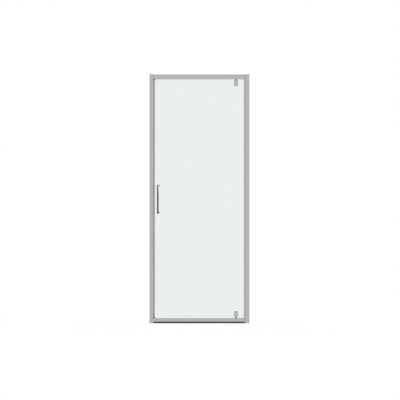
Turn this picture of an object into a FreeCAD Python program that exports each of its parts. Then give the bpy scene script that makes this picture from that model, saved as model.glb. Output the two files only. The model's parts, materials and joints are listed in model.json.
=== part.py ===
import FreeCAD, Part
import os, math

# Framed single pivot shower door, 762 mm wide and 1900 mm tall, millimetres.
# +X is to the right as seen from outside, -Y faces the person outside, +Y is
# the shower side, +Z is up. The origin is the middle of the underside.

V = FreeCAD.Vector

# ---------------------------------------------------------------- dimensions
WIDTH = 762.0             # wall to wall at the narrowest setting
HEIGHT = 1900.0           # to the top of the wall profile caps
HALF = WIDTH / 2.0

WALL_FACE = 29.0          # wall profile face width, seen from the front
WALL_Y = 20.0             # wall profile half depth
WALL_T = 1.6
WALL_TOP = 1898.4         # cut length of the wall profiles
FIX_HOLE_R = 2.5          # wall fixing holes
FIX_Z = (100.0, 650.0, 1250.0, 1800.0)

ADJ_X = 369.5             # width adjuster screws, from the centre line
ADJ_Z = (250.0, 950.0, 1650.0)
ADJ_TRAVEL = 12.0         # telescopic travel on each side
ADJ_SLOT_W = 4.8

STILE_IN = 353.0          # strike stile web face, where the rails butt
HINGE_IN = 345.0          # hinge stile web face, where the rails butt
RAIL_GAP = 0.6            # shadow joint between the rails and the hinge stile
STILE_OUT = 374.0
STILE_Y = 18.1
STILE_T = 1.5
STILE_TOP = 1897.0
PLUG_TOP = 1898.05        # plugs in the tops of the stiles
STRIKE_STOP = 339.5       # inner edge of the strike stile's stop
HINGE_LIP = 338.6         # inner edge of the hinge stile's cover lip
STOP_Y0, STOP_Y1 = 10.2, 18.1
STOP_T = 1.3

RAIL_Y = 18.0
RAIL_T = 1.6
TOP_RAIL_Z = (1861.5, 1898.0)
BOT_RAIL_Z = (12.3, 39.2)
PORT_Y = 12.8             # screw ports in the rails
PORT_R, PORT_BORE = 4.0, 2.15

GASKET_H = 12.3           # threshold gasket under the bottom rail

LEAF_Z = (47.7, 1857.0)
GLASS_T = 6.0
GLASS_X = (-344.7, 342.0)
EDGE_X = (-351.5, -338.9) # door edge profile
EDGE_Z = (47.7, 1855.2)   # it stops just short of the top of the glass
EDGE_Y = 5.5

PIVOT_X = 279.0
PIN_R = 3.0
PIN_BORE = 3.06           # running clearance in the bushes
BUSH_FLANGE_R = 7.5
BUSH_R = 5.95
BUSH_NECK = (6.5, 5.2)    # flange heights, bottom and top
CLAMP_W = 32.0
CLAMP_H = 43.4
CLAMP_DROP = 1.0          # both clamps sit this much low on the glass
CLAMP_FRONT_Y = (-10.5, -4.5)
CLAMP_BACK_Y = (4.5, 9.5)
CORE_W, CORE_H = 18.0, 24.0
NOTCH_W, NOTCH_H, NOTCH_R = 20.0, 26.0, 6.0
CLAMP_SCREW_DX, CLAMP_SCREW_DZ = 6.0, 11.0
PAD_NOSE = 2.2            # how far the glass pads show past the clamp nose

GRIP_X = (-323.4, -310.4) # handle bar
GRIP_Y = (-47.0, -37.0)
GRIP_Z = (835.5, 1056.0)
FOOT_X = (-317.2, -306.2)
FOOT_H = 14.0
FOOT_Y = -4.0
HANDLE_HOLE_R = 4.8

os.makedirs("parts", exist_ok=True)


# ------------------------------------------------------------------- helpers
def place(plane, a, b, at):
    """A point of a section: xy sections run along Z, yz along X, xz along Y."""
    if plane == "xy":
        return V(a, b, at)
    if plane == "yz":
        return V(at, a, b)
    return V(a, at, b)


def outline(points, plane, at):
    """Closed wire through (a, b) or (a, b, radius) points, corners rounded."""
    n = len(points)
    pts = [(p[0], p[1], p[2] if len(p) > 2 else 0.0) for p in points]
    legs = []
    for i in range(n):
        ax, ay, r = pts[i]
        px, py, _ = pts[i - 1]
        qx, qy, _ = pts[(i + 1) % n]
        ux, uy = px - ax, py - ay
        wx, wy = qx - ax, qy - ay
        lu, lw = math.hypot(ux, uy), math.hypot(wx, wy)
        ux, uy, wx, wy = ux / lu, uy / lu, wx / lw, wy / lw
        if r <= 0.0:
            legs.append(((ax, ay), None, (ax, ay)))
            continue
        dot = max(-1.0, min(1.0, ux * wx + uy * wy))
        half = math.acos(dot) / 2.0
        d = r / math.tan(half)
        bx, by = ux + wx, uy + wy
        lb = math.hypot(bx, by)
        bx, by = bx / lb, by / lb
        reach = r / math.sin(half) - r
        legs.append((
            (ax + ux * d, ay + uy * d),
            (ax + bx * reach, ay + by * reach),
            (ax + wx * d, ay + wy * d),
        ))
    edges = []
    for i in range(n):
        start, mid, end = legs[i]
        if mid is not None:
            edges.append(Part.Arc(place(plane, *start, at), place(plane, *mid, at),
                                  place(plane, *end, at)).toShape())
        nxt = legs[(i + 1) % n][0]
        if math.hypot(nxt[0] - end[0], nxt[1] - end[1]) > 1e-6:
            edges.append(Part.makeLine(place(plane, *end, at), place(plane, *nxt, at)))
    return Part.Wire(edges)


def prism(points, plane, lo, hi, holes=()):
    """Straight extrusion of a section from lo to hi, with through chambers."""
    body = Part.Face(outline(points, plane, lo)).extrude(place(plane, 0, 0, hi - lo))
    for h in holes:
        body = body.cut(
            Part.Face(outline(h, plane, lo - 1)).extrude(place(plane, 0, 0, hi - lo + 2)))
    return body


def rect(a0, a1, b0, b1, r=0.0):
    return [(a0, b0, r), (a1, b0, r), (a1, b1, r), (a0, b1, r)]


def box(x0, x1, y0, y1, z0, z1):
    return Part.makeBox(x1 - x0, y1 - y0, z1 - z0, V(x0, y0, z0))


def rod(r, start, end):
    a, b = V(*start), V(*end)
    return Part.makeCylinder(r, (b - a).Length, a, b - a)


def cone(r0, r1, start, end):
    a, b = V(*start), V(*end)
    return Part.makeCone(r0, r1, (b - a).Length, a, b - a)


def turned(profile, start, direction):
    """Solid of revolution: profile of (radius, height) points about an axis."""
    wire = Part.makePolygon([V(r, 0, h) for r, h in profile] + [V(profile[0][0], 0, profile[0][1])])
    body = Part.Face(wire).revolve(V(0, 0, 0), V(0, 0, 1), 360)
    if body.Volume < 0:
        body.reverse()
    d = V(*direction)
    body.Placement = FreeCAD.Placement(V(*start), FreeCAD.Rotation(V(0, 0, 1), d))
    return body


def dome(r, h, steps=8):
    """Profile points of a low dome, from its rim up to its crown on the axis."""
    return [(r * math.cos(math.pi / 2 * i / steps), h * math.sin(math.pi / 2 * i / steps))
            for i in range(steps + 1)]


def face_edges(body, axis, value):
    """Edges that lie wholly in the plane axis = value."""
    out = []
    for e in body.Edges:
        b = e.BoundBox
        lo, hi = {"x": (b.XMin, b.XMax), "y": (b.YMin, b.YMax), "z": (b.ZMin, b.ZMax)}[axis]
        if abs(lo - value) < 1e-4 and abs(hi - value) < 1e-4:
            out.append(e)
    return out


def one(body):
    """A clean single solid."""
    body = body.removeSplitter()
    if len(body.Solids) != 1:
        raise ValueError("expected one solid, got %d" % len(body.Solids))
    return body.Solids[0]


def save(name, *bodies):
    shape = bodies[0] if len(bodies) == 1 else Part.Compound(list(bodies))
    for s in shape.Solids:
        if not s.isValid() or s.Volume <= 0:
            raise ValueError("bad solid in " + name)
    shape.exportStep("parts/%s.step" % name)
    b = shape.BoundBox
    print("%-24s %2d solids %11.1f mm3  x %8.2f %8.2f  y %7.2f %7.2f  z %8.2f %8.2f" % (
        name, len(shape.Solids), shape.Volume, b.XMin, b.XMax, b.YMin, b.YMax, b.ZMin, b.ZMax))


def turn_round(body):
    """The same extrusion turned half a turn about the vertical centre line."""
    out = body.copy()
    out.rotate(V(0, 0, 0), V(0, 0, 1), 180)
    return out


def cross_recess(at, direction, size, depth):
    """Crossed driver slots sunk from a screw's head face."""
    d = V(*direction)
    a = Part.makeBox(size, size * 0.22, depth + 0.5, V(-size / 2, -size * 0.11, -depth))
    b = Part.makeBox(size * 0.22, size, depth + 0.5, V(-size * 0.11, -size / 2, -depth))
    body = a.fuse(b)
    body.Placement = FreeCAD.Placement(V(*at), FreeCAD.Rotation(V(0, 0, 1), d))
    return body


# ------------------------------------------------------------- wall profiles
def wall_profile(s):
    """U channel open towards the door, in three walls: the back, which goes on the
    wall, and the front and rear legs; s is -1 on the left, +1 on the right."""
    xo, xi = s * HALF, s * (HALF - WALL_FACE)
    xw = s * (HALF - WALL_T)
    yi = WALL_Y - WALL_T
    back = prism(rect(min(xo, xw), max(xo, xw), -yi, yi), "xy", 0.0, WALL_TOP)
    for z in FIX_Z:
        back = back.cut(rod(FIX_HOLE_R, (s * (HALF - 4), 0, z), (s * (HALF + 2), 0, z)))
    front, rear = [prism([(xo, k * WALL_Y, 1.0), (xi, k * WALL_Y, 0.6), (xi, k * yi, 0.5), (xo, k * yi)],
                         "xy", 0.0, WALL_TOP) for k in (-1, 1)]
    # slots that let the channel slide over its clamping screws
    w = ADJ_SLOT_W / 2.0
    a, b = s * ADJ_X, s * (ADJ_X - ADJ_TRAVEL)
    for z in ADJ_Z:
        for x in (a, b):
            rear = rear.cut(rod(w, (x, yi - 1, z), (x, WALL_Y + 1, z)))
        rear = rear.cut(box(min(a, b), max(a, b), yi - 1, WALL_Y + 1, z - w, z + w))
    return one(back), one(front), one(rear)


def wall_cap(s):
    """Push-in top cap: a plate over the channel and a tongue inside it."""
    xo, xi = s * HALF, s * (HALF - WALL_FACE)
    plate = prism([(xo, -WALL_Y, 1.0), (xi, -WALL_Y, 1.0), (xi, WALL_Y, 1.0), (xo, WALL_Y, 1.0)],
                  "xy", WALL_TOP, HEIGHT)
    plate = plate.makeFillet(0.7, face_edges(plate, "z", HEIGHT))
    a, b = s * (HALF - WALL_T - 0.2), s * (STILE_OUT + 0.6)
    tongue = box(min(a, b), max(a, b), -17.8, 17.8, WALL_TOP - 12.0, WALL_TOP + 0.5)
    return one(plate.fuse(tongue))


for side, s in (("left", -1), ("right", 1)):
    back, front, rear = wall_profile(s)
    save(side + "_wall_profile", back)
    save(side + "_wall_profile_front_leg", front)
    save(side + "_wall_profile_rear_leg", rear)
    save(side + "_wall_profile_cap", wall_cap(s))

# -------------------------------------------------------------------- stiles
t = STILE_T
lip = 3.5
RAIL_MID = (sum(BOT_RAIL_Z) / 2.0, sum(TOP_RAIL_Z) / 2.0)


def stile(web, stop_in):
    """Channel open towards the wall, in four walls: its web, its front and rear
    legs with turned-in ends, and a hollow stop beside the doorway that has a
    hooked edge for a strip. Drawn on the left with the stop behind."""
    z0, z1 = BOT_RAIL_Z[1], TOP_RAIL_Z[0]
    core = prism([(-web, -STILE_Y, 0.6), (-web, STILE_Y, 0.6), (-web - t, STILE_Y), (-web - t, -STILE_Y)],
                 "xy", 0.0, STILE_TOP)
    core = core.fuse(box(-web - 0.8, -web, STOP_Y0, STOP_Y1, z0, z1))   # square where the stop meets it
    for z in RAIL_MID:
        for y in (-PORT_Y, PORT_Y):
            core = core.cut(rod(2.2, (-web - 4, y, z), (-web + 2, y, z)))
    front, rear = [prism([
        (-web - t, k * STILE_Y), (-STILE_OUT, k * STILE_Y, 0.5), (-STILE_OUT, k * (STILE_Y - lip), 0.3),
        (-STILE_OUT + t, k * (STILE_Y - lip), 0.3), (-STILE_OUT + t, k * (STILE_Y - t), 0.3),
        (-web - t, k * (STILE_Y - t))], "xy", 0.0, STILE_TOP) for k in (-1, 1)]
    stop = prism([
        (-web, STOP_Y1), (-web, STOP_Y0), (-stop_in - 1.2, STOP_Y0, 0.3),
        (-stop_in - 1.2, STOP_Y0 - 1.2, 0.2), (-stop_in - 2.2, STOP_Y0 - 1.2, 0.2),
        (-stop_in - 2.2, STOP_Y0 - 2.0, 0.3), (-stop_in, STOP_Y0 - 2.0, 0.6),
        (-stop_in, STOP_Y1, 1.2)], "xy", z0, z1,
        holes=[rect(-web + STOP_T, -stop_in - STOP_T, STOP_Y0 + STOP_T, STOP_Y1 - STOP_T, 0.5)])
    return one(core), one(front), one(rear), one(stop)


def adjuster_holes(body, s):
    for z in ADJ_Z:
        body = body.cut(rod(2.05, (s * ADJ_X, STILE_Y - 4, z), (s * ADJ_X, STILE_Y + 2, z)))
    return one(body)


# on the strike side the stop is behind the leaf; the hinge side has a wider
# section of the same kind, turned round so that its stop is a lip in front
core, front, rear, stop = stile(STILE_IN, STRIKE_STOP)
save("strike_stile", core)
save("strike_stile_front_leg", front)
save("strike_stile_rear_leg", adjuster_holes(rear, -1))
save("strike_stop", stop)
core, rear, front, stop = [turn_round(wall) for wall in stile(HINGE_IN, HINGE_LIP)]
save("hinge_stile", core)
save("hinge_stile_front_leg", front)
save("hinge_stile_rear_leg", adjuster_holes(rear, 1))
save("hinge_lip", stop)


def stile_plug(s, web):
    """Push-in plug that closes a stile's open top beside the rail."""
    a, b = s * (web + 0.05), s * (STILE_OUT - 0.1)
    plate = prism(rect(min(a, b), max(a, b), -STILE_Y + 0.1, STILE_Y - 0.1, 0.6), "xy", STILE_TOP, PLUG_TOP)
    plate = plate.makeFillet(0.4, face_edges(plate, "z", PLUG_TOP))
    c, d = s * (web + STILE_T + 0.2), s * (STILE_OUT - STILE_T - 0.5)
    leg = STILE_Y - STILE_T - 0.2
    tongue = box(min(c, d), max(c, d), -leg, leg, STILE_TOP - 8.0, STILE_TOP + 0.3)
    return one(plate.fuse(tongue))


save("stile_top_plugs", stile_plug(-1, STILE_IN), stile_plug(1, HINGE_IN))

# --------------------------------------------------------------------- rails
def rail(z0, z1, inner_wall_z):
    """Hollow rail with two open screw ports; inner_wall_z is the face that
    looks into the doorway."""
    xa, xb = -STILE_IN, HINGE_IN - RAIL_GAP
    body = prism(rect(-RAIL_Y, RAIL_Y, z0, z1, 1.5), "yz", xa, xb)
    body = body.makeChamfer(0.5, face_edges(body, "x", xa) + face_edges(body, "x", xb))
    body = body.cut(prism(rect(-RAIL_Y + RAIL_T, RAIL_Y - RAIL_T, z0 + RAIL_T, z1 - RAIL_T, 0.8),
                          "yz", xa - 1, xb + 1))
    zc = (z0 + z1) / 2.0
    for s in (-1, 1):
        y = s * PORT_Y
        ring = rod(PORT_R, (xa, y, zc), (xb, y, zc))
        ring = ring.cut(rod(PORT_BORE, (xa - 1, y, zc), (xb + 1, y, zc)))
        mouth = (y - s * 6.0, y)
        ring = ring.cut(box(xa - 1, xb + 1, min(mouth), max(mouth), zc - 1.2, zc + 1.2))
        body = body.fuse(ring)
    # bush hole and two countersunk holes for the pivot block
    up = 1.0 if inner_wall_z == z1 else -1.0
    body = body.cut(rod(BUSH_R + 0.1, (PIVOT_X, 0, inner_wall_z - up * 4), (PIVOT_X, 0, inner_wall_z + up * 2)))
    for dx in (-14.0, 14.0):
        x = PIVOT_X + dx
        body = body.cut(rod(2.1, (x, 0, inner_wall_z - up * 4), (x, 0, inner_wall_z + up * 2)))
        body = body.cut(cone(3.65, 2.1, (x, 0, inner_wall_z), (x, 0, inner_wall_z - up * 1.55)))
    return one(body)


save("top_rail", rail(TOP_RAIL_Z[0], TOP_RAIL_Z[1], TOP_RAIL_Z[0]))
save("bottom_rail", rail(BOT_RAIL_Z[0], BOT_RAIL_Z[1], BOT_RAIL_Z[1]))


def corner_screw(s, y, z):
    """Pan-head screw through the stile web into a rail port."""
    head_face = s * ((STILE_IN if s < 0 else HINGE_IN) + STILE_T)
    body = turned([(0, -28.0), (2.1, -25.5), (2.1, 0.0), (3.6, 0.0), (3.6, 1.3), (2.9, 2.3), (0, 2.6)],
                  (head_face, y, z), (s, 0, 0))
    return one(body.cut(cross_recess((head_face + s * 2.6, y, z), (s, 0, 0), 3.4, 1.5)))


save("corner_screws", *[corner_screw(s, y, z) for s in (-1, 1) for z in RAIL_MID for y in (-PORT_Y, PORT_Y)])

# ---------------------------------------------------------- threshold gasket
g = GASKET_H
gasket = [(-17.0, 0.0, 2.0), (-12.4, 0.0), (-11.8, 1.5), (-9.8, 1.5), (-9.2, 0.0),
          (9.2, 0.0), (9.8, 1.5), (11.8, 1.5), (12.4, 0.0), (17.0, 0.0, 2.0),
          (17.0, 4.2), (16.3, 4.6), (16.3, 5.2), (17.0, 5.6), (17.0, 8.0), (16.3, 8.4), (16.3, 9.0),
          (17.0, 9.4), (17.0, g, 0.4), (-17.0, g, 0.4),
          (-17.0, 9.4), (-16.3, 9.0), (-16.3, 8.4), (-17.0, 8.0), (-17.0, 5.6), (-16.3, 5.2),
          (-16.3, 4.6), (-17.0, 4.2)]
save("threshold_gasket", one(prism(gasket, "yz", -STILE_IN + 1.0, HINGE_IN - 0.3)))

# --------------------------------------------- frame-side strips in the hooks
z0, z1 = BOT_RAIL_Z[1], TOP_RAIL_Z[0]
hook_y = STOP_Y0 - 1.2
# T-shaped magnet strip: its flange is held by the hook, its face covers the hook
save("strike_magnet_strip", one(prism([
    (-STILE_IN + 0.4, STOP_Y0), (-STILE_IN + 0.4, 6.0, 0.5), (-STRIKE_STOP - 0.2, 6.0, 0.5),
    (-STRIKE_STOP - 0.2, 8.0, 0.2), (-STRIKE_STOP - 3.2, 8.0),
    (-STRIKE_STOP - 3.2, hook_y), (-STRIKE_STOP - 1.4, hook_y), (-STRIKE_STOP - 1.4, STOP_Y0, 0.4)], "xy", z0, z1)))

# bulb seal: a flange in the lip's hook and a hollow bulb that meets the glass
bulb_x, bulb_y, bulb_r = 342.2, -5.75, 2.3
base = prism([(HINGE_LIP + 1.4, -STOP_Y0, 0.4), (HINGE_IN - 0.4, -STOP_Y0), (HINGE_IN - 0.4, -hook_y, 0.3),
              (bulb_x + 1.2, -hook_y), (bulb_x + 1.0, -7.6), (bulb_x - 1.0, -7.6), (bulb_x - 1.1, -hook_y),
              (HINGE_LIP + 1.4, -hook_y)], "xy", z0, z1)
bulb = rod(bulb_r, (bulb_x, bulb_y, z0), (bulb_x, bulb_y, z1))
seal = base.fuse(bulb).cut(rod(bulb_r - 0.75, (bulb_x, bulb_y, z0 - 1), (bulb_x, bulb_y, z1 + 1)))
save("hinge_bulb_seal", one(seal))

# ---------------------------------------------------------- width adjusters
def adjuster_screw(s, z):
    body = turned([(0, -10.5), (2.0, -8.5), (2.0, 0.0), (4.0, 0.0), (4.0, 1.4), (3.4, 2.0), (0, 2.2)],
                  (s * ADJ_X, WALL_Y + 0.3, z), (0, 1, 0))
    return one(body.cut(cross_recess((s * ADJ_X, WALL_Y + 2.5, z), (0, 1, 0), 3.6, 1.3)))


def adjuster_cap(s, z):
    """Snap-on domed cover around the screw head."""
    prof = [(4.02, 0.0), (7.5, 0.0), (7.5, 1.2)]
    prof += [(7.5 * math.cos(a), 1.2 + 3.2 * math.sin(a)) for a in [math.pi / 2 * i / 8 for i in range(1, 9)]]
    prof[-1] = (0.0, 4.4)
    prof += [(0.0, 3.4), (3.2, 3.0), (4.02, 2.4)]
    return one(turned(prof, (s * ADJ_X, WALL_Y + 0.3, z), (0, 1, 0)))


for side, s in (("left", -1), ("right", 1)):
    save(side + "_adjuster_screws", *[adjuster_screw(s, z) for z in ADJ_Z])
    save(side + "_adjuster_caps", *[adjuster_cap(s, z) for z in ADJ_Z])

# ------------------------------------------------------------------- pivots
# The bottom set is modelled; the top set is its mirror about mid height of
# the clear opening, with its own neck height.
def pivot_block(face, up):
    """Block behind the rail wall; face is the wall's hidden side, up points
    into the doorway."""
    lo, hi = sorted((face, face - up * 13.0))
    body = prism(rect(PIVOT_X - 20.0, PIVOT_X + 20.0, -8.0, 8.0, 2.0), "xy", lo, hi)
    body = body.cut(rod(BUSH_R + 0.05, (PIVOT_X, 0, lo - 1), (PIVOT_X, 0, hi + 1)))
    for dx in (-14.0, 14.0):
        body = body.cut(rod(2.02, (PIVOT_X + dx, 0, lo - 1), (PIVOT_X + dx, 0, hi + 1)))
    return one(body)


def pivot_bush(face, up, neck):
    """Flanged bush; face is the rail face it stands on, neck its flange height."""
    f, r = BUSH_FLANGE_R, BUSH_R
    prof = [(PIN_BORE, -12.4), (r - 0.5, -12.4), (r, -11.8), (r, 0.0), (f, 0.0),
            (f, neck - 0.6), (f - 0.2, neck - 0.2), (f - 0.6, neck), (PIN_BORE + 0.4, neck), (PIN_BORE, neck - 0.4)]
    return one(turned(prof, (PIVOT_X, 0, face), (0, 0, up)))


def block_screw(x, face, up):
    body = turned([(0, -13.0), (2.0, -11.5), (2.0, -1.55), (3.6, 0.0), (0, 0.0)], (x, 0, face), (0, 0, up))
    return one(body.cut(cross_recess((x, 0, face), (0, 0, up), 3.4, 1.4)))


bot_face, top_face = BOT_RAIL_Z[1], TOP_RAIL_Z[0]
save("bottom_pivot_block", pivot_block(bot_face - RAIL_T, 1))
save("top_pivot_block", pivot_block(top_face + RAIL_T, -1))
save("bottom_pivot_bush", pivot_bush(bot_face, 1, BUSH_NECK[0]))
save("top_pivot_bush", pivot_bush(top_face, -1, BUSH_NECK[1]))
save("bottom_thrust_washer", one(turned(
    [(3.3, 0.0), (7.0, 0.0), (7.0, 0.5), (6.8, 0.7), (3.3, 0.7)], (PIVOT_X, 0, bot_face + BUSH_NECK[0]), (0, 0, 1))))
save("pivot_block_screws", *[block_screw(PIVOT_X + dx, f, u)
                             for f, u in ((bot_face, 1), (top_face, -1)) for dx in (-14.0, 14.0)])


def arch(flat_z, up, inset, y0, y1, nose=0.0):
    """Tombstone outline: flat end at flat_z, half-round end up the glass, which
    reaches further by nose."""
    r = CLAMP_W / 2.0 - inset
    zf = flat_z + up * inset
    zc = flat_z + up * (CLAMP_H - CLAMP_W / 2.0 + nose)
    a = V(PIVOT_X - r, y0, zf)
    b = V(PIVOT_X + r, y0, zf)
    c = V(PIVOT_X + r, y0, zc)
    d = V(PIVOT_X - r, y0, zc)
    top = V(PIVOT_X, y0, zc + up * r)
    wire = Part.Wire([Part.makeLine(a, b), Part.makeLine(b, c), Part.Arc(c, top, d).toShape(), Part.makeLine(d, a)])
    return Part.Face(wire).extrude(V(0, y1 - y0, 0))


def clamp_front(flat_z, up):
    """Front plate with a softened rim, the core that fills the glass notch,
    the pin bore and two blind screw holes."""
    y0, y1 = CLAMP_FRONT_Y
    plate = arch(flat_z, up, 0.0, y0, y1)
    rim = [e for e in face_edges(plate, "y", y0) if not face_is_flat_end(e, flat_z)]
    plate = plate.makeFillet(5.2, rim)
    plate = plate.makeFillet(0.8, [e for e in face_edges(plate, "z", flat_z)
                                   if e.BoundBox.YMax < y1 - 0.01])
    zi = flat_z + up * CORE_H
    h = CORE_W / 2.0
    core = prism([(PIVOT_X - h, flat_z), (PIVOT_X + h, flat_z), (PIVOT_X + h, zi, 5.0), (PIVOT_X - h, zi, 5.0)],
                 "xz", y1 - 0.5, CLAMP_BACK_Y[0])
    body = plate.fuse(core)
    body = body.cut(rod(PIN_R + 0.02, (PIVOT_X, 0, flat_z - up * 1), (PIVOT_X, 0, flat_z + up * 22.0)))
    for dx in (-CLAMP_SCREW_DX, CLAMP_SCREW_DX):
        z = flat_z + up * CLAMP_SCREW_DZ
        body = body.cut(rod(2.05, (PIVOT_X + dx, CLAMP_BACK_Y[0] + 1, z), (PIVOT_X + dx, -8.0, z)))
    return one(body)


def face_is_flat_end(edge, flat_z):
    b = edge.BoundBox
    return abs(b.ZMin - flat_z) < 1e-4 and abs(b.ZMax - flat_z) < 1e-4


def clamp_back(flat_z, up):
    y0, y1 = CLAMP_BACK_Y
    body = arch(flat_z, up, 0.0, y0, y1)
    body = body.makeFillet(1.4, face_edges(body, "y", y1))
    for dx in (-CLAMP_SCREW_DX, CLAMP_SCREW_DX):
        x, z = PIVOT_X + dx, flat_z + up * CLAMP_SCREW_DZ
        body = body.cut(rod(2.1, (x, y0 - 1, z), (x, y1 + 1, z)))
        body = body.cut(cone(3.95, 2.1, (x, y1, z), (x, y1 - 1.85, z)))
    return one(body)


def clamp_gaskets(flat_z, up):
    """Dark pads between the plates and the glass; they peep out past the nose."""
    h = CORE_W / 2.0 + 0.3
    zi = flat_z + up * (CORE_H + 0.3)
    z_out = flat_z - up * 1.0
    gap = prism([(PIVOT_X - h, z_out), (PIVOT_X + h, z_out), (PIVOT_X + h, zi, 5.0), (PIVOT_X - h, zi, 5.0)],
                "xz", -6.0, 6.0)
    half = GLASS_T / 2.0
    return [one(arch(flat_z, up, 0.15, y0, y1, PAD_NOSE).cut(gap))
            for y0, y1 in ((CLAMP_FRONT_Y[1], -half), (half, CLAMP_BACK_Y[0]))]


def clamp_screw(x, z):
    y = CLAMP_BACK_Y[1]
    body = turned([(0, -17.0), (1.6, -17.0), (2.0, -16.6), (2.0, -1.85), (3.85, 0.0), (0, 0.0)], (x, y, z), (0, 1, 0))
    hexagon = Part.makePolygon([V(x + 1.45 * math.cos(math.pi / 3 * i), y - 1.5, z + 1.45 * math.sin(math.pi / 3 * i))
                                for i in range(7)])
    return one(body.cut(Part.Face(hexagon).extrude(V(0, 3.0, 0))))


def pivot_pin(flat_z, up, reach):
    prof = [(0, -reach), (PIN_R - 0.6, -reach), (PIN_R, -reach + 0.6), (PIN_R, 21.4), (PIN_R - 0.5, 21.9), (0, 21.9)]
    return one(turned(prof, (PIVOT_X, 0, flat_z), (0, 0, up)))


for name, flat_z, up, reach in (("bottom", LEAF_Z[0] - CLAMP_DROP, 1, 19.0), ("top", LEAF_Z[1] - CLAMP_DROP, -1, 17.0)):
    save(name + "_clamp_front", clamp_front(flat_z, up))
    save(name + "_clamp_back", clamp_back(flat_z, up))
    save(name + "_clamp_gaskets", *clamp_gaskets(flat_z, up))
    save(name + "_pivot_pin", pivot_pin(flat_z, up, reach))
    save(name + "_clamp_screws", *[clamp_screw(PIVOT_X + dx, flat_z + up * CLAMP_SCREW_DZ)
                                   for dx in (-CLAMP_SCREW_DX, CLAMP_SCREW_DX)])

# --------------------------------------------------------------- glass panel
HANDLE_X = sum(FOOT_X) / 2.0
HANDLE_Z = (GRIP_Z[0] + FOOT_H / 2.0, GRIP_Z[1] - FOOT_H / 2.0)
gx0, gx1 = GLASS_X
gz0, gz1 = LEAF_Z
n0, n1 = PIVOT_X - NOTCH_W / 2.0, PIVOT_X + NOTCH_W / 2.0
nz0, nz1 = gz0 + NOTCH_H, gz1 - NOTCH_H
glass = prism([
    (gx0, gz0, 1.5), (n0, gz0, 1.5), (n0, nz0, NOTCH_R), (n1, nz0, NOTCH_R), (n1, gz0, 1.5), (gx1, gz0, 2.5),
    (gx1, gz1, 2.5), (n1, gz1, 1.5), (n1, nz1, NOTCH_R), (n0, nz1, NOTCH_R), (n0, gz1, 1.5), (gx0, gz1, 1.5)],
    "xz", -GLASS_T / 2.0, GLASS_T / 2.0)
for z in HANDLE_Z:
    glass = glass.cut(rod(HANDLE_HOLE_R, (HANDLE_X, -10, z), (HANDLE_X, 10, z)))
arris = face_edges(glass, "y", -GLASS_T / 2.0) + face_edges(glass, "y", GLASS_T / 2.0)
glass = glass.makeChamfer(0.5, arris)
save("glass_panel", one(glass))

# ------------------------------------------------------ strike edge of the leaf
e0, e1 = EDGE_X
edge = prism([(e0, -EDGE_Y, 0.9), (e1, -EDGE_Y, 0.6), (e1, EDGE_Y, 0.6), (e0, EDGE_Y, 0.8)], "xy", *EDGE_Z,
             holes=[[(e1 + 1.0, -4.0), (e1 + 1.0, 4.0), (-345.5, 4.0, 0.4), (-345.5, -4.0, 0.4)],
                    [(-350.3, -2.2, 0.3), (-346.7, -2.2, 0.3), (-346.7, 4.3), (-347.4, 4.3), (-347.4, EDGE_Y + 1),
                     (-349.6, EDGE_Y + 1), (-349.6, 4.3), (-350.3, 4.3)]])
save("door_edge_profile", one(edge))
save("door_magnet_strip", one(prism([
    (-350.2, -2.0, 0.3), (-346.8, -2.0, 0.3), (-346.8, 4.2), (-347.5, 4.2), (-347.5, EDGE_Y - 0.1, 0.3),
    (-349.5, EDGE_Y - 0.1, 0.3), (-349.5, 4.2), (-350.2, 4.2)], "xy", *EDGE_Z)))
hg = GLASS_T / 2.0
save("door_edge_gasket", one(prism([
    (-345.4, -3.95, 0.6), (e1 - 0.6, -3.95), (e1 - 0.2, -3.6, 0.2), (e1 - 0.2, -hg), (-344.75, -hg), (-344.75, hg),
    (e1 - 0.2, hg), (e1 - 0.2, 3.6, 0.2), (e1 - 0.6, 3.95), (-345.4, 3.95, 0.6)], "xy", *EDGE_Z)))

# --------------------------------------------------------- clear drip seals
zb = LEAF_Z[0]
drip = [(-3.9, zb - 1.5, 0.5), (-0.6, zb - 1.5), (4.2, zb - 5.8), (6.9, zb - 7.2, 0.2), (7.2, zb - 6.6, 0.2), (4.7, zb - 5.1),
        (0.9, zb - 1.5), (3.9, zb - 1.5, 0.5), (3.9, zb + 9.5, 0.3), (3.0, zb + 10.0), (3.0, zb - 0.1),
        (-3.0, zb - 0.1), (-3.0, zb + 10.0), (-3.9, zb + 9.5, 0.3)]
save("bottom_seal_long", one(prism(drip, "yz", e1 + 1.0, PIVOT_X - 20.0)))
save("bottom_seal_short", one(prism(drip, "yz", PIVOT_X + 20.0, HINGE_LIP - 1.0)))

# ------------------------------------------------------------------- handle
bx0, bx1 = GRIP_X
by0, by1 = GRIP_Y
fx0, fx1 = FOOT_X
bar = prism(rect(bx0, bx1, by0, by1, 4.6), "xy", *GRIP_Z)
bar = bar.makeFillet(2.0, face_edges(bar, "z", GRIP_Z[0]) + face_edges(bar, "z", GRIP_Z[1]))


def arm(z0):
    """Cranked arm from the foot on the glass out to the bar."""
    body = prism([(fx0, FOOT_Y), (fx0, -23.0, 9.0), (bx0 + 0.6, -35.0, 7.0), (bx0 + 0.6, by0 + 0.6, 4.0),
                  (bx1 - 1.0, by0 + 0.6, 7.0), (fx1, -27.0, 11.0), (fx1, FOOT_Y)], "xy", z0, z0 + FOOT_H)
    long_edges = face_edges(body, "z", z0) + face_edges(body, "z", z0 + FOOT_H)
    keep = [e for e in long_edges if not (abs(e.BoundBox.YMin - FOOT_Y) < 1e-4 and abs(e.BoundBox.YMax - FOOT_Y) < 1e-4)]
    return body.makeFillet(2.0, keep)


grip = bar.fuse(arm(GRIP_Z[0])).fuse(arm(GRIP_Z[1] - FOOT_H))
for z in HANDLE_Z:
    grip = grip.cut(rod(2.55, (HANDLE_X, FOOT_Y + 1, z), (HANDLE_X, -17.0, z)))
save("handle_grip", one(grip))


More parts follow.
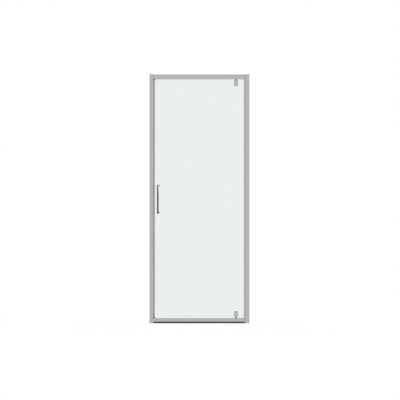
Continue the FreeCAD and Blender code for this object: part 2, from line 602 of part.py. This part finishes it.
def handle_bolt(z):
    """Low domed bolt from the shower side."""
    crown = [(9.0 * math.cos(a), 1.6 + 2.6 * math.sin(a)) for a in [math.pi / 2 * i / 8 for i in range(1, 9)]]
    crown[-1] = (0.0, 4.2)
    body = turned([(0, -20.0), (2.1, -20.0), (2.5, -19.6), (2.5, 0.0), (8.6, 0.0), (9.0, 0.4), (9.0, 1.6)] + crown,
                  (HANDLE_X, 4.0, z), (0, 1, 0))
    hexagon = Part.makePolygon([V(HANDLE_X + 1.75 * math.cos(math.pi / 3 * i), 6.0, z + 1.75 * math.sin(math.pi / 3 * i))
                                for i in range(7)])
    return one(body.cut(Part.Face(hexagon).extrude(V(0, 5.0, 0))))


def ring(r_out, r_in, y0, y1, z):
    return one(rod(r_out, (HANDLE_X, y0, z), (HANDLE_X, y1, z)).cut(
        rod(r_in, (HANDLE_X, y0 - 1, z), (HANDLE_X, y1 + 1, z))))


save("handle_bolts", *[handle_bolt(z) for z in HANDLE_Z])
save("handle_front_washers", *[ring(5.3, 2.7, FOOT_Y, -hg, z) for z in HANDLE_Z])
save("handle_back_washers", *[ring(8.5, 2.7, hg, 4.0, z) for z in HANDLE_Z])
save("handle_hole_sleeves", *[ring(HANDLE_HOLE_R - 0.1, 2.7, -hg, hg, z) for z in HANDLE_Z])
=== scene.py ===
import bpy
import json
import math
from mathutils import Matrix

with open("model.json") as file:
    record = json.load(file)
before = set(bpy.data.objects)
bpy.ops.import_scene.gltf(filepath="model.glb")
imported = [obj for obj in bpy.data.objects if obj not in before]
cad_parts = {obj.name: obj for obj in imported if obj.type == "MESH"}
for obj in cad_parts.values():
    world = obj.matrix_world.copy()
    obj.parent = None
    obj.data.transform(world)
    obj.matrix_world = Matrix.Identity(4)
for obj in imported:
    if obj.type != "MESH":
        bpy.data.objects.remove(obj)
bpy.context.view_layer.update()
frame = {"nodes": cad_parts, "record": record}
scene = bpy.context.scene
nodes = frame["nodes"]


# ---------------------------------------------------------------- node helpers
def new_material(name):
    mat = bpy.data.materials.new(name)
    mat.use_nodes = True
    tree = mat.node_tree
    tree.nodes.clear()
    out = tree.nodes.new("ShaderNodeOutputMaterial")
    bsdf = tree.nodes.new("ShaderNodeBsdfPrincipled")
    tree.links.new(bsdf.outputs["BSDF"], out.inputs["Surface"])
    return mat, tree, bsdf


def coords(tree, scale, output="Object"):
    """Object-space position in metres, stretched by scale."""
    tc = tree.nodes.new("ShaderNodeTexCoord")
    mp = tree.nodes.new("ShaderNodeMapping")
    mp.inputs["Scale"].default_value = scale
    tree.links.new(tc.outputs[output], mp.inputs["Vector"])
    return mp.outputs["Vector"]


def noise(tree, vector, scale=1.0, detail=2.0, roughness=0.5, distortion=0.0):
    n = tree.nodes.new("ShaderNodeTexNoise")
    n.inputs["Scale"].default_value = scale
    n.inputs["Detail"].default_value = detail
    n.inputs["Roughness"].default_value = roughness
    n.inputs["Distortion"].default_value = distortion
    tree.links.new(vector, n.inputs["Vector"])
    return n.outputs["Fac"]


def ramp(tree, fac, stops, interpolation="LINEAR"):
    r = tree.nodes.new("ShaderNodeValToRGB")
    r.color_ramp.interpolation = interpolation
    e = r.color_ramp.elements
    while len(e) > 1:
        e.remove(e[-1])
    for i, (pos, col) in enumerate(stops):
        el = e[0] if i == 0 else e.new(pos)
        el.position = pos
        el.color = (col[0], col[1], col[2], 1.0)
    tree.links.new(fac, r.inputs["Fac"])
    return r.outputs["Color"]


def remap(tree, value, a, b, lo=0.0, hi=1.0, smooth=False):
    m = tree.nodes.new("ShaderNodeMapRange")
    m.interpolation_type = "SMOOTHSTEP" if smooth else "LINEAR"
    m.inputs["From Min"].default_value = lo
    m.inputs["From Max"].default_value = hi
    m.inputs["To Min"].default_value = a
    m.inputs["To Max"].default_value = b
    tree.links.new(value, m.inputs["Value"])
    return m.outputs["Result"]


def math_node(tree, op, a, b=None):
    m = tree.nodes.new("ShaderNodeMath")
    m.operation = op
    for i, v in enumerate((a, b)):
        if v is None:
            continue
        if isinstance(v, (int, float)):
            m.inputs[i].default_value = v
        else:
            tree.links.new(v, m.inputs[i])
    return m.outputs[0]


def bump(tree, height, strength, distance, normal=None):
    b = tree.nodes.new("ShaderNodeBump")
    b.inputs["Strength"].default_value = strength
    b.inputs["Distance"].default_value = distance
    tree.links.new(height, b.inputs["Height"])
    if normal is not None:
        tree.links.new(normal, b.inputs["Normal"])
    return b.outputs["Normal"]


# ------------------------------------------------------------------- materials
def satin_aluminium(name, along, shade_tone=1.0):
    """Satin anodised extrusion: die lines run the length of the profile, over
    slow tonal streaks and a fine etched grain; shade_tone scales the whole colour down as painted shade for profiles
    that sit in recesses."""
    mat, t, p = new_material(name)
    fine, slow = (1700.0, 4.0), (150.0, 0.9)
    line = [fine[0]] * 3
    streak = [slow[0]] * 3
    line["xyz".index(along)] = fine[1]
    streak["xyz".index(along)] = slow[1]
    lines = noise(t, coords(t, line), detail=2.0, roughness=0.6)
    streaks = noise(t, coords(t, streak), detail=3.0, roughness=0.55)
    grain = noise(t, coords(t, (5200.0,) * 3), detail=1.0)
    p.inputs["Metallic"].default_value = 1.0
    low, high = (tuple(c * shade_tone for c in col) for col in ((0.786, 0.788, 0.792), (0.832, 0.834, 0.838)))
    t.links.new(ramp(t, streaks, [(0.28, low), (0.72, high)]), p.inputs["Base Color"])
    t.links.new(remap(t, lines, 0.34, 0.43, 0.25, 0.75), p.inputs["Roughness"])
    n = bump(t, lines, 0.10, 0.0002)
    t.links.new(bump(t, grain, 0.04, 0.0001, n), p.inputs["Normal"])
    return mat


def chrome(name, base, rough):
    """Polished plating with a faint haze of wiping marks."""
    mat, t, p = new_material(name)
    haze = noise(t, coords(t, (46.0, 46.0, 30.0)), detail=4.0, roughness=0.6, distortion=0.4)
    wipe = noise(t, coords(t, (2600.0, 2600.0, 90.0)), detail=2.0, roughness=0.55)
    p.inputs["Metallic"].default_value = 1.0
    lo = tuple(c * 0.955 for c in base)
    t.links.new(ramp(t, haze, [(0.30, lo), (0.70, base)]), p.inputs["Base Color"])
    both = math_node(t, "ADD", math_node(t, "MULTIPLY", haze, 0.7), math_node(t, "MULTIPLY", wipe, 0.3))
    t.links.new(remap(t, both, rough[0], rough[1], 0.3, 0.7), p.inputs["Roughness"])
    t.links.new(bump(t, wipe, 0.015, 0.0001), p.inputs["Normal"])
    return mat


def clear_glass(name):
    """Toughened float glass: nearly clear through its faces, green in its
    polished edges, with a trace of wiping haze."""
    mat, t, p = new_material(name)
    tc = t.nodes.new("ShaderNodeTexCoord")
    sep = t.nodes.new("ShaderNodeSeparateXYZ")
    t.links.new(tc.outputs["Normal"], sep.inputs["Vector"])
    facing = math_node(t, "ABSOLUTE", sep.outputs["Y"])
    t.links.new(ramp(t, facing, [(0.20, (0.56, 0.76, 0.70)), (0.90, (0.842, 0.874, 0.882))]),
                p.inputs["Base Color"])
    haze = noise(t, coords(t, (5.0, 5.0, 7.0)), detail=5.0, roughness=0.62, distortion=0.6)
    t.links.new(remap(t, haze, 0.0, 0.018, 0.45, 0.8), p.inputs["Roughness"])
    p.inputs["IOR"].default_value = 1.5
    p.inputs["Transmission Weight"].default_value = 1.0
    return mat


def clear_vinyl(name):
    """Clear flexible vinyl: a thin film with faint drawing lines along it."""
    mat, t, p = new_material(name)
    drawn = noise(t, coords(t, (8.0, 900.0, 900.0)), detail=2.0)
    t.links.new(ramp(t, drawn, [(0.3, (0.86, 0.875, 0.88)), (0.7, (0.93, 0.94, 0.94))]), p.inputs["Base Color"])
    t.links.new(remap(t, drawn, 0.12, 0.26, 0.3, 0.7), p.inputs["Roughness"])
    t.links.new(bump(t, drawn, 0.05, 0.0002), p.inputs["Normal"])
    p.inputs["IOR"].default_value = 1.45
    p.inputs["Alpha"].default_value = 0.02
    return mat


def moulded(name, lo, hi, rough, grain_scale, grain_strength):
    """Moulded plastic or rubber: fine spark grain and a little mottling."""
    mat, t, p = new_material(name)
    mottle = noise(t, coords(t, (70.0,) * 3), detail=4.0, roughness=0.6)
    grain = noise(t, coords(t, (grain_scale,) * 3), detail=2.0, roughness=0.6)
    t.links.new(ramp(t, mottle, [(0.3, lo), (0.7, hi)]), p.inputs["Base Color"])
    t.links.new(remap(t, grain, rough[0], rough[1], 0.3, 0.7), p.inputs["Roughness"])
    t.links.new(bump(t, grain, grain_strength, 0.0002), p.inputs["Normal"])
    return mat


def turned_steel(name):
    """Bright screw steel with fine turning marks."""
    mat, t, p = new_material(name)
    marks = noise(t, coords(t, (900.0,) * 3), detail=3.0, roughness=0.6)
    p.inputs["Metallic"].default_value = 1.0
    t.links.new(ramp(t, marks, [(0.3, (0.60, 0.60, 0.595)), (0.7, (0.70, 0.70, 0.69))]), p.inputs["Base Color"])
    t.links.new(remap(t, marks, 0.20, 0.34, 0.3, 0.7), p.inputs["Roughness"])
    t.links.new(bump(t, marks, 0.05, 0.0001), p.inputs["Normal"])
    return mat


alu_upright = satin_aluminium("satin_aluminium_upright", "z")
alu_level = satin_aluminium("satin_aluminium_level", "x")
# painted shade: the recessed stiles, stops and door edge get a copy of the satin aluminium 10 % darker, standing in for
# the shade in their recesses
alu_painted_shade = satin_aluminium("satin_aluminium_painted_shade", "z", 0.90)
finish_of = {
    "satin_aluminium": alu_upright,
    "chrome": chrome("polished_chrome", (0.82, 0.825, 0.83), (0.05, 0.11)),
    "dark_chrome": chrome("dark_chrome_polish", (0.168, 0.172, 0.172), (0.06, 0.12)),
    "clear_glass": clear_glass("toughened_glass"),
    "clear_vinyl": clear_vinyl("clear_vinyl_drawn"),
    "dark_rubber": moulded("dark_rubber_grain", (0.060, 0.060, 0.062), (0.080, 0.080, 0.082), (0.62, 0.80), 1800.0, 0.25),
    "grey_plastic": moulded("grey_plastic_grain", (0.50, 0.505, 0.51), (0.55, 0.555, 0.56), (0.42, 0.56), 2200.0, 0.15),
    "grey_nylon": moulded("grey_nylon_grain", (0.36, 0.365, 0.37), (0.42, 0.425, 0.43), (0.40, 0.55), 2000.0, 0.15),
    "stainless_steel": turned_steel("turned_steel"),
}
finish_at = {"top_rail": alu_level, "bottom_rail": alu_level}
# the recessed inner profiles take the darker, painted-shade copy of the aluminium
for name in ("strike_stile", "strike_stile_front_leg", "strike_stile_rear_leg", "strike_stop",
             "hinge_stile", "hinge_stile_front_leg", "hinge_stile_rear_leg", "hinge_lip", "door_edge_profile"):
    finish_at[name] = alu_painted_shade
for sub in frame["record"]["subparts"]:
    mat = finish_at.get(sub["node"], finish_of[sub["material_slot"]])
    for slot in nodes[sub["node"]].material_slots:
        slot.material = mat

# ----------------------------------------------------------------------- stage
WHITE = 1.0               # what the camera sees round the door
FLOOR_GLOW = 0.686        # lifts the lit floor to the same white

floor_mesh = bpy.data.meshes.new("floor")
r, far = 40.0, 0.455      # the far edge lies behind the bottom rail
floor_mesh.from_pydata([(-r, -r, 0), (r, -r, 0), (r, far, 0), (-r, far, 0)], [], [(0, 1, 2, 3)])
floor = bpy.data.objects.new("floor", floor_mesh)
floor.location.z = -0.0004
floor.visible_glossy = False
floor.visible_transmission = False
scene.collection.objects.link(floor)
mat, t, p = new_material("pale_floor")
p.inputs["Base Color"].default_value = (0.62, 0.62, 0.62, 1.0)
p.inputs["Roughness"].default_value = 1.0
p.inputs["Specular IOR Level"].default_value = 0.0
p.inputs["Emission Color"].default_value = (1.0, 1.0, 1.0, 1.0)
p.inputs["Emission Strength"].default_value = FLOOR_GLOW
floor_mesh.materials.append(mat)

# soft studio: even light all round, a broad panel before the door and one behind
# it, a weaker one on the right, and less light from underneath
world = bpy.data.worlds.new("studio")
scene.world = world
world.use_nodes = True
t = world.node_tree
t.nodes.clear()
out = t.nodes.new("ShaderNodeOutputWorld")
bg = t.nodes.new("ShaderNodeBackground")
white = t.nodes.new("ShaderNodeBackground")
white.inputs["Color"].default_value = (1.0, 1.0, 1.0, 1.0)
white.inputs["Strength"].default_value = WHITE
tc = t.nodes.new("ShaderNodeTexCoord")


def panel(direction, strength, outer, inner):
    """A soft panel of light round a direction, fading between two angles."""
    n = math.sqrt(sum(c * c for c in direction))
    dot = t.nodes.new("ShaderNodeVectorMath")
    dot.operation = "DOT_PRODUCT"
    dot.inputs[1].default_value = [c / n for c in direction]
    t.links.new(tc.outputs["Generated"], dot.inputs[0])
    return remap(t, dot.outputs["Value"], 0.0, strength,
                 math.cos(math.radians(outer)), math.cos(math.radians(inner)), smooth=True)


EVEN = 0.42
level = math_node(t, "ADD", panel((0.22, -0.95, 0.22), 0.325, 80.0, 40.0), EVEN)
level = math_node(t, "ADD", level, panel((-0.15, 0.95, 0.22), 0.30, 80.0, 40.0))
level = math_node(t, "ADD", level, panel((1.0, 0.0, 0.15), 0.12, 80.0, 20.0))
height = t.nodes.new("ShaderNodeSeparateXYZ")
t.links.new(tc.outputs["Generated"], height.inputs["Vector"])
level = math_node(t, "MULTIPLY", level, remap(t, height.outputs["Z"], 0.60, 1.0, -0.88, -0.42, smooth=True))
t.links.new(level, bg.inputs["Strength"])
path = t.nodes.new("ShaderNodeLightPath")
clear = math_node(t, "MAXIMUM", path.outputs["Is Camera Ray"], path.outputs["Is Transmission Ray"])
pick = t.nodes.new("ShaderNodeMixShader")
t.links.new(clear, pick.inputs["Fac"])
t.links.new(bg.outputs["Background"], pick.inputs[1])
t.links.new(white.outputs["Background"], pick.inputs[2])
t.links.new(pick.outputs["Shader"], out.inputs["Surface"])

# a soft box on the right, level with the upper half of the door, kept to the handle
box_data = bpy.data.lights.new("soft_box", "AREA")
box_data.shape = "RECTANGLE"
box_data.size, box_data.size_y = 2.6, 0.76
box_data.energy = 63.0
box = bpy.data.objects.new("soft_box", box_data)
box.location = (2.2, -1.3, 1.40)
box.rotation_euler = (math.radians(90.0), 0.0, math.radians(90.0))
box.visible_camera = False
box.visible_transmission = False
scene.collection.objects.link(box)
lit = bpy.data.collections.new("lit_by_soft_box")
for name in ("handle_grip", "handle_front_washers"):
    lit.objects.link(nodes[name])
box.light_linking.receiver_collection = lit

scene.view_settings.view_transform = "Standard"
scene.view_settings.look = "None"

# ---------------------------------------------------------------------- camera
FAR = 16.0                # dead square, from far off
FRAME_W = 3.050           # width of the picture at the front of the door
cam_data = bpy.data.cameras.new("camera")
cam_data.sensor_width = 36.0
cam_data.lens = 36.0 * (FAR - 0.02) / FRAME_W
cam_data.clip_start, cam_data.clip_end = 0.1, 200.0
cam = bpy.data.objects.new("camera", cam_data)
cam.location = (0.0043, -FAR, 0.9402)
cam.rotation_euler = (math.radians(90.0), 0.0, 0.0)
scene.collection.objects.link(cam)
scene.camera = cam
